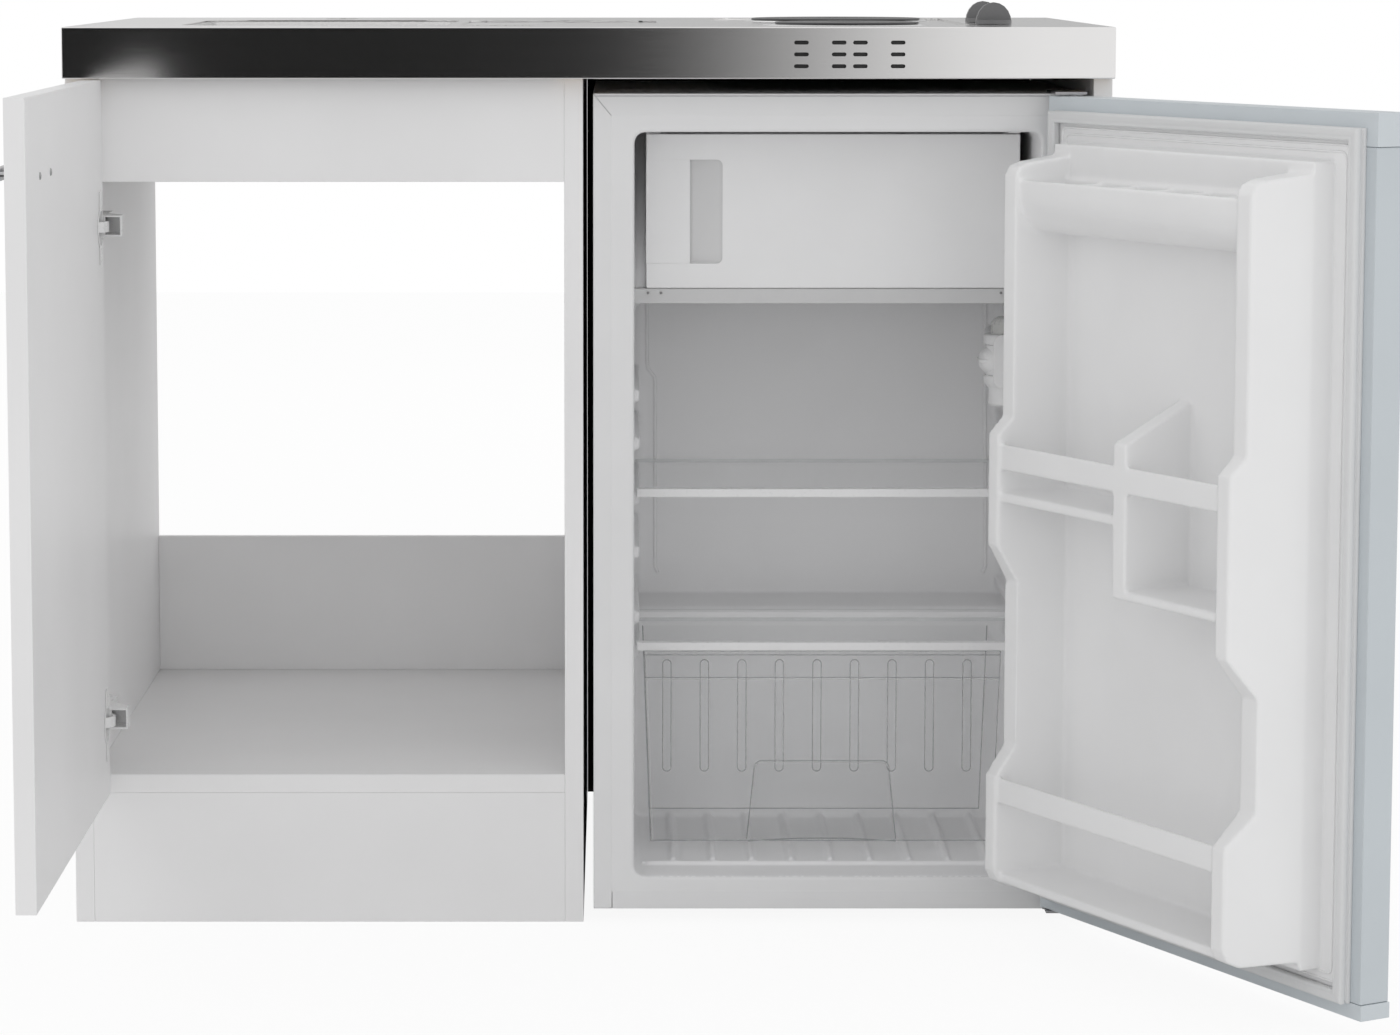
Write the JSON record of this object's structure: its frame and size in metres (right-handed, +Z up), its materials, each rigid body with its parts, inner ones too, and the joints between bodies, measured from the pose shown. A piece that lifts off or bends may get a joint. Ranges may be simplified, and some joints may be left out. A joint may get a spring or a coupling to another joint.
{
  "type": "kitchenette unit with sink and hob",
  "caption": "Compact kitchenette: stainless steel top with sink, drainer and electric hob over a sink cabinet with a hinged door and a niche with an undercounter refrigerator.",
  "frame": {"origin": "middle of the underside of the middle side panel, on the floor, half-way between that panel's front and back edges", "axes": "+X to the right seen from the front, +Y from the front to the back, +Z up"},
  "size_m": [1.2035, 1.079, 0.8916],
  "materials": {
    "white_board": "white melamine-faced chipboard, fine satin, with matching edge band",
    "dark_board": "thin dark hardboard, matt",
    "raw_wood": "unfinished softwood",
    "top_steel": "stainless sheet, fine grain along the front, satin",
    "sink_steel": "stainless sheet, satin, slightly brighter than the top",
    "ring_steel": "thin bright stainless trim",
    "plate_iron": "heat-proof black coating on cast iron, with fine turned rings",
    "knob_plastic": "dark grey, fine satin",
    "switch_plastic": "plain off-white moulding",
    "pan_steel": "zinc-coated sheet, dull",
    "handle_steel": "satin grey bow handle",
    "hinge_zinc": "bright nickel-plated pressed steel",
    "cooler_white": "white coated steel sheet, smooth satin",
    "liner_plastic": "white vacuum-formed plastic, soft gloss",
    "freezer_plastic": "white moulded plastic, satin",
    "shelf_glass": "clear safety glass",
    "clear_plastic": "clear moulded plastic",
    "lamp_glass": "clear glass",
    "door_grey": "pale blue-grey coated steel sheet, smooth",
    "cap_plastic": "pale blue-grey moulding",
    "seal_rubber": "pale grey magnetic seal",
    "bracket_dark": "pressed steel",
    "foot_plastic": "dark moulded screw foot",
    "motor_black": "black enamel"
  },
  "bodies": {
    "unit": {"side_panel_left": "white_board", "side_panel_middle": "white_board", "end_panel_right": "white_board", "cabinet_floor": "white_board", "plinth": "white_board", "front_rail": "white_board", "back_rail": "white_board", "back_strip": "white_board", "niche_back": "dark_board", "batten_left": "raw_wood", "batten_right": "raw_wood", "batten_middle": "raw_wood", "steel_top": "top_steel", "sink_bowl": "sink_steel", "sink_waste": "sink_steel", "trim_ring_front": "ring_steel", "trim_ring_rear": "ring_steel", "hotplate_front": "plate_iron", "hotplate_rear": "plate_iron", "switch_front": "switch_plastic", "switch_rear": "switch_plastic", "hob_pan": "pan_steel", "hinge_plate_upper": "hinge_zinc", "hinge_plate_lower": "hinge_zinc", "hinge_arm_upper": "hinge_zinc", "hinge_arm_lower": "hinge_zinc", "fridge_body": "cooler_white", "fridge_liner": "liner_plastic", "thermostat_housing": "liner_plastic", "shelf_trim_upper": "liner_plastic", "shelf_trim_lower": "liner_plastic", "freezer_box": "freezer_plastic", "drip_tray": "freezer_plastic", "shelf_glass_upper": "shelf_glass", "shelf_glass_lower": "shelf_glass", "interior_lamp": "lamp_glass", "door_bracket_upper": "bracket_dark", "door_bracket_lower": "bracket_dark", "fridge_foot_front_left": "foot_plastic", "fridge_foot_front_right": "foot_plastic", "fridge_foot_rear_left": "foot_plastic", "fridge_foot_rear_right": "foot_plastic", "compressor": "motor_black"},
    "hinge_links": {"hinge_link_upper": "hinge_zinc", "hinge_link_lower": "hinge_zinc"},
    "cabinet_door": {"cabinet_door": "white_board", "cabinet_handle": "handle_steel", "hinge_cup_upper": "hinge_zinc", "hinge_cup_lower": "hinge_zinc"},
    "refrigerator_door": {"fridge_door": "door_grey", "door_cap_upper": "cap_plastic", "door_cap_lower": "cap_plastic", "door_gasket": "seal_rubber", "door_liner": "liner_plastic"},
    "freezer_flap": {"freezer_flap": "freezer_plastic"},
    "crisper": {"crisper_drawer": "clear_plastic"},
    "knob_front": {"knob_front": "knob_plastic"},
    "knob_rear": {"knob_rear": "knob_plastic"},
    "thermostat_dial": {"thermostat_dial": "liner_plastic"},
    "strainer": {"sink_strainer": "sink_steel"}
  },
  "joints": [
    {"name": "cabinet_hinge_links", "type": "hinge", "parent": "unit", "child": "hinge_links", "pos_m": [-0.44971, -0.28781, 0.44], "axis": [0, 0, -1], "range_deg": [0, 54.64]},
    {"name": "cabinet_door_swing", "type": "hinge", "parent": "hinge_links", "child": "cabinet_door", "pos_m": [-0.455, -0.312, 0.44], "axis": [0, 0, -1], "range_deg": [-144.63, 0]},
    {"name": "refrigerator_door_swing", "type": "hinge", "parent": "unit", "child": "refrigerator_door", "pos_m": [0.47395, -0.317, 0.41], "axis": [0, 0, 1], "range_deg": [-119, 16]},
    {"name": "freezer_flap_swing", "type": "hinge", "parent": "unit", "child": "freezer_flap", "pos_m": [0.43165, -0.201, 0.69], "axis": [0, 0, 1], "range_deg": [0, 70]},
    {"name": "crisper_slide", "type": "slide", "parent": "unit", "child": "crisper", "axis": [0, -1, 0], "range_m": [0, 0.12]},
    {"name": "knob_front_turn", "type": "hinge", "parent": "unit", "child": "knob_front", "pos_m": [0.414, -0.145, 0.88], "axis": [0, 0, 1], "range_deg": [0, 300]},
    {"name": "knob_rear_turn", "type": "hinge", "parent": "unit", "child": "knob_rear", "pos_m": [0.414, -0.032, 0.88], "axis": [0, 0, 1], "range_deg": [0, 300]},
    {"name": "thermostat_turn", "type": "hinge", "parent": "unit", "child": "thermostat_dial", "pos_m": [0.41, -0.1425, 0.536], "axis": [-1, 0, 0], "range_deg": [0, 280]},
    {"name": "strainer_lift", "type": "slide", "parent": "unit", "child": "strainer", "axis": [0, 0, 1], "range_m": [0, 0.05]}
  ],
  "couplings": [
    {"joint": "cabinet_hinge_links", "follows": "cabinet_door_swing", "ratio": -0.37774}
  ]
}
